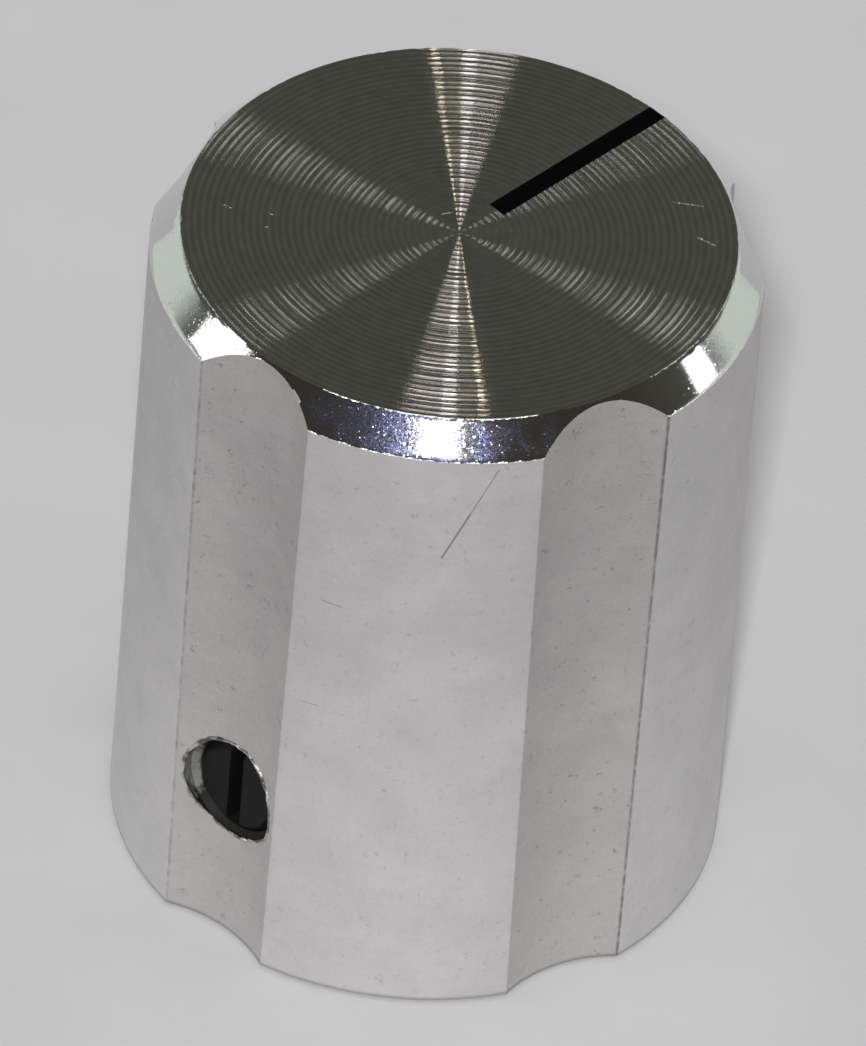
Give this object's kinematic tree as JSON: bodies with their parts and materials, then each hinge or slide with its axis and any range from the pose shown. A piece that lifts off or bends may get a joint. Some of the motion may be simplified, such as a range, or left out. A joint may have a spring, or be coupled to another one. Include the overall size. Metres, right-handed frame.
{
  "type": "control knob",
  "caption": "Round metal control knob with finger flutes, a bright chamfer, a spun face with a black pointer line, a blind shaft hole and a set screw.",
  "frame": {"origin": "where the knob's axis meets the underside, the plane that faces the panel", "axes": "+Z along the knob's axis towards the face; -Y out through the set screw; the pointer line runs close to +Y"},
  "size_m": [0.021, 0.0208, 0.026],
  "materials": {
    "blasted_aluminium": "bead blasted and clear anodised, with a bright-cut chamfer and a spun face",
    "black_steel": "black oxide",
    "black_enamel": "black enamel fill"
  },
  "bodies": {
    "root": {"knob_body": "blasted_aluminium", "set_screw": "black_steel", "pointer_fill": "black_enamel"}
  },
  "joints": []
}
